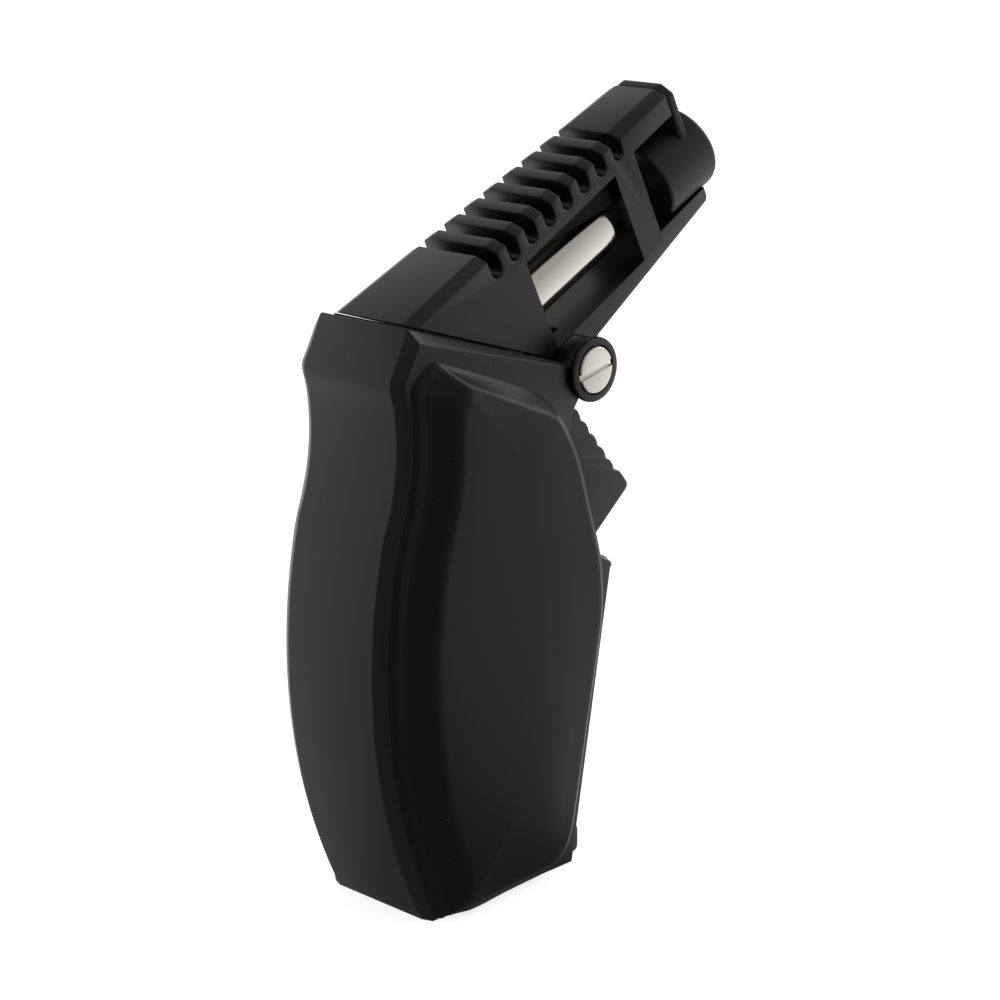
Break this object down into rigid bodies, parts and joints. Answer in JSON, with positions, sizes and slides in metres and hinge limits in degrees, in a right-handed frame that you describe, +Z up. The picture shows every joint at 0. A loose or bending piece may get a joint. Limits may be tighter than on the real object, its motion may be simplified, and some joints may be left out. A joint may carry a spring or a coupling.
{
  "type": "butane torch",
  "caption": "Hand-held butane torch: moulded grip with a trigger below a finned burner head that tilts on a hinge, the flame tube showing through side windows.",
  "frame": {"origin": "middle of the bounding box, at the level of the flat base the torch stands on", "axes": "+Z up the handle, +X forwards, the way the flame points and the trigger faces, +Y to the torch's left"},
  "size_m": [0.0887, 0.032, 0.1328],
  "materials": {
    "black_shell": "satin moulded plastic with a fine grain",
    "guard_black": "satin heat-resistant plastic, slightly warmer black",
    "collar_black": "smooth black",
    "nickel": "polished nickel plate, slightly warm",
    "brass": "turned brass",
    "steel": "plain steel",
    "alloy": "cast zinc alloy, plain",
    "ceramic": "unglazed insulator",
    "smoke_plastic": "translucent smoke nylon",
    "piezo_plastic": "natural acetal",
    "seal_rubber": "soft nitrile",
    "hose_plastic": "clear gas hose",
    "wire_insulation": "insulated wire"
  },
  "bodies": {
    "handle": {"handle_frame": "black_shell", "right_cover": "black_shell", "left_cover": "black_shell", "cover_screw_1": "steel", "cover_screw_2": "steel", "cover_screw_3": "steel", "base_plate": "black_shell", "base_screw": "steel", "fuel_tank": "smoke_plastic", "refill_valve_body": "brass", "refill_spring": "steel", "refill_seal": "seal_rubber", "outlet_valve_body": "brass", "outlet_seal": "seal_rubber", "lever_pin": "steel", "piezo_body": "piezo_plastic", "pivot_collar_right": "collar_black", "pivot_collar_left": "collar_black", "gas_hose_lower": "hose_plastic", "spark_wire_lower": "wire_insulation"},
    "head": {"head_housing": "black_shell", "jet_holder": "alloy", "gas_jet": "brass", "burner_tube": "nickel", "burner_neck": "steel", "flame_cup": "steel", "electrode": "steel", "electrode_sleeve": "ceramic", "nozzle_guard": "guard_black", "pivot_screw_right": "nickel", "pivot_screw_left": "nickel", "gas_hose_upper": "hose_plastic", "spark_wire_upper": "wire_insulation"},
    "trigger": {"trigger": "black_shell", "piezo_plunger": "piezo_plastic"},
    "gas_lever": {"gas_lever": "piezo_plastic"},
    "outlet_stem": {"outlet_stem": "steel"},
    "refill_stem": {"refill_stem": "steel"},
    "flame_adjuster": {"flame_adjuster": "brass"}
  },
  "joints": [
    {"name": "head_tilt", "type": "hinge", "parent": "handle", "child": "head", "pos_m": [0.0046, 0, 0.088], "axis": [0, 1, 0], "range_deg": [0, 45]},
    {"name": "trigger_pull", "type": "slide", "parent": "handle", "child": "trigger", "axis": [-0.7694, 0, -0.6388], "range_m": [0, 0.0045], "stiffness_N_per_m": 600, "springref_m": -0.004},
    {"name": "gas_lever_rock", "type": "hinge", "parent": "handle", "child": "gas_lever", "pos_m": [-0.012, 0, 0.058], "axis": [0, 1, 0], "range_deg": [0, 12]},
    {"name": "outlet_lift", "type": "slide", "parent": "handle", "child": "outlet_stem", "axis": [0, 0, 1], "range_m": [0, 0.0017], "deforming": ["gas_hose_lower"]},
    {"name": "refill_press", "type": "slide", "parent": "handle", "child": "refill_stem", "axis": [0, 0, 1], "range_m": [0, 0.002], "stiffness_N_per_m": 400, "springref_m": -0.0005, "deforming": ["refill_spring"]},
    {"name": "flame_adjust", "type": "hinge", "parent": "handle", "child": "flame_adjuster", "pos_m": [-0.0065, 0, 0], "axis": [0, 0, 1], "range_deg": [0, 270]}
  ],
  "couplings": [
    {"joint": "gas_lever_rock", "follows": "trigger_pull", "rad_per_m": 46},
    {"joint": "outlet_lift", "follows": "trigger_pull", "ratio": 0.3667}
  ]
}
